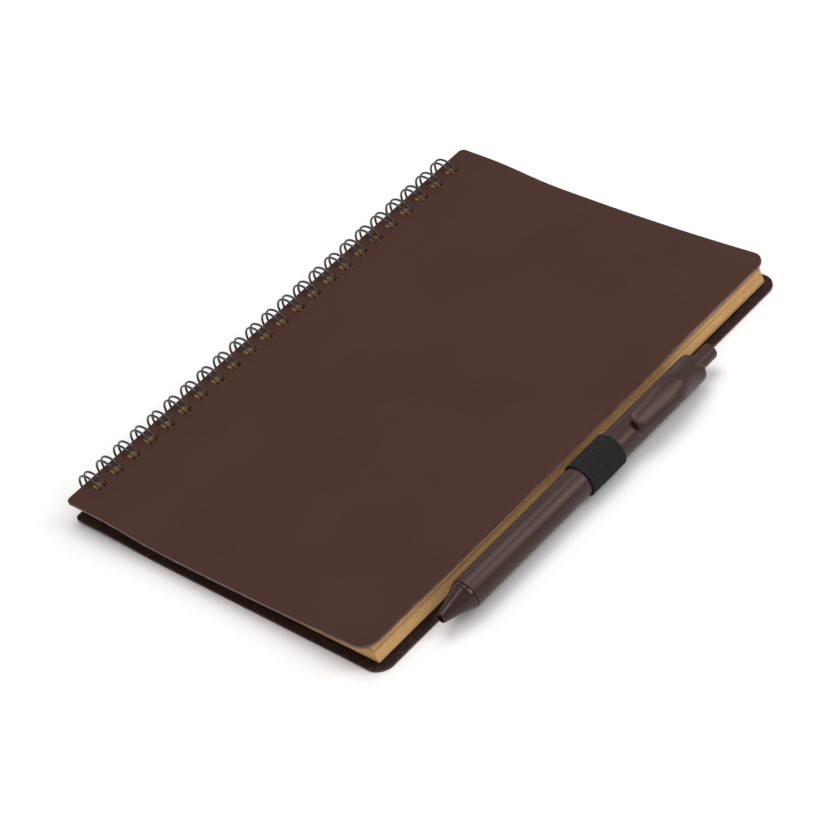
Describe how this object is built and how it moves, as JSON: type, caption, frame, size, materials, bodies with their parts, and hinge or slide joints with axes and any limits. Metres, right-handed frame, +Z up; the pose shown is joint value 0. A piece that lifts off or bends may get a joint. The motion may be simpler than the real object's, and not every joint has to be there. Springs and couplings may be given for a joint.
{
  "type": "pocket notebook",
  "caption": "Wire-bound notebook with smooth dark brown covers, kraft pages and a retractable pen held in an elastic loop at the fore-edge.",
  "frame": {"origin": "on the back cover's flat underside, in the middle of the book: 80 mm from the hinge axis and midway along the spine", "axes": "+X from the wire towards the fore-edge and the pen, +Y along the spine from the pen's point towards its button, +Z up out of the front cover"},
  "size_m": [0.1644, 0.21, 0.0163],
  "materials": {
    "cover_leatherette": "smooth satin leatherette",
    "cover_fibre": "fibrous, matt, bonded leather board",
    "kraft_paper": "uncoated kraft paper",
    "binding_wire": "dark nylon-coated steel wire",
    "elastic": "ribbed woven elastic",
    "pen_satin": "satin moulded plastic",
    "pen_gloss": "glossy moulded plastic",
    "refill_tube": "translucent plastic tube",
    "refill_brass": "turned brass",
    "steel": "bright steel"
  },
  "bodies": {
    "notebook": {"back_cover_skin": "cover_leatherette", "back_cover_backing": "cover_fibre", "binding_wire": "binding_wire", "pen_loop": "elastic"},
    "front_cover": {"front_cover_skin": "cover_leatherette", "front_cover_backing": "cover_fibre"},
    "page_1": {"page_section_1": "kraft_paper"},
    "page_2": {"page_section_2": "kraft_paper"},
    "page_3": {"page_section_3": "kraft_paper"},
    "page_4": {"page_section_4": "kraft_paper"},
    "page_5": {"page_section_5": "kraft_paper"},
    "page_6": {"page_section_6": "kraft_paper"},
    "page_7": {"page_section_7": "kraft_paper"},
    "page_8": {"page_section_8": "kraft_paper"},
    "pen": {"pen_nose_cone": "pen_gloss", "pen_barrel": "pen_satin", "pen_clip_sleeve": "pen_satin", "pen_spring": "steel"},
    "pen_push": {"pen_button": "pen_satin", "pen_plunger": "pen_gloss", "pen_refill_tube": "refill_tube", "pen_refill_tip": "refill_brass", "pen_writing_ball": "steel"}
  },
  "joints": [
    {"name": "cover_hinge", "type": "hinge", "parent": "notebook", "child": "front_cover", "pos_m": [-0.08, 0, 0.00627], "axis": [0, -1, 0], "range_deg": [0, 180]},
    {"name": "page_1_hinge", "type": "hinge", "parent": "notebook", "child": "page_1", "pos_m": [-0.08, 0, 0.00627], "axis": [0, -1, 0], "range_deg": [0, 180]},
    {"name": "page_2_hinge", "type": "hinge", "parent": "notebook", "child": "page_2", "pos_m": [-0.08, 0, 0.00627], "axis": [0, -1, 0], "range_deg": [0, 180]},
    {"name": "page_3_hinge", "type": "hinge", "parent": "notebook", "child": "page_3", "pos_m": [-0.08, 0, 0.00627], "axis": [0, -1, 0], "range_deg": [0, 180]},
    {"name": "page_4_hinge", "type": "hinge", "parent": "notebook", "child": "page_4", "pos_m": [-0.08, 0, 0.00627], "axis": [0, -1, 0], "range_deg": [0, 180]},
    {"name": "page_5_hinge", "type": "hinge", "parent": "notebook", "child": "page_5", "pos_m": [-0.08, 0, 0.00627], "axis": [0, -1, 0], "range_deg": [0, 180]},
    {"name": "page_6_hinge", "type": "hinge", "parent": "notebook", "child": "page_6", "pos_m": [-0.08, 0, 0.00627], "axis": [0, -1, 0], "range_deg": [0, 180]},
    {"name": "page_7_hinge", "type": "hinge", "parent": "notebook", "child": "page_7", "pos_m": [-0.08, 0, 0.00627], "axis": [0, -1, 0], "range_deg": [0, 180]},
    {"name": "page_8_hinge", "type": "hinge", "parent": "notebook", "child": "page_8", "pos_m": [-0.08, 0, 0.00627], "axis": [0, -1, 0], "range_deg": [0, 180]},
    {"name": "pen_slide", "type": "slide", "parent": "notebook", "child": "pen", "axis": [0, 1, 0], "range_m": [0, 0.088]},
    {"name": "button_press", "type": "slide", "parent": "pen", "child": "pen_push", "axis": [0, -1, 0], "range_m": [0, 0.005], "stiffness_N_per_m": 300, "springref_m": -0.003, "deforming": ["pen_spring"]}
  ],
  "couplings": [
    {"joint": "page_1_hinge", "follows": "cover_hinge", "ratio": 0.99},
    {"joint": "page_2_hinge", "follows": "cover_hinge", "ratio": 0.97},
    {"joint": "page_3_hinge", "follows": "cover_hinge", "ratio": 0.95},
    {"joint": "page_4_hinge", "follows": "cover_hinge", "ratio": 0.92},
    {"joint": "page_5_hinge", "follows": "cover_hinge", "ratio": 0.06},
    {"joint": "page_6_hinge", "follows": "cover_hinge", "ratio": 0.04},
    {"joint": "page_7_hinge", "follows": "cover_hinge", "ratio": 0.025},
    {"joint": "page_8_hinge", "follows": "cover_hinge", "ratio": 0.01}
  ]
}
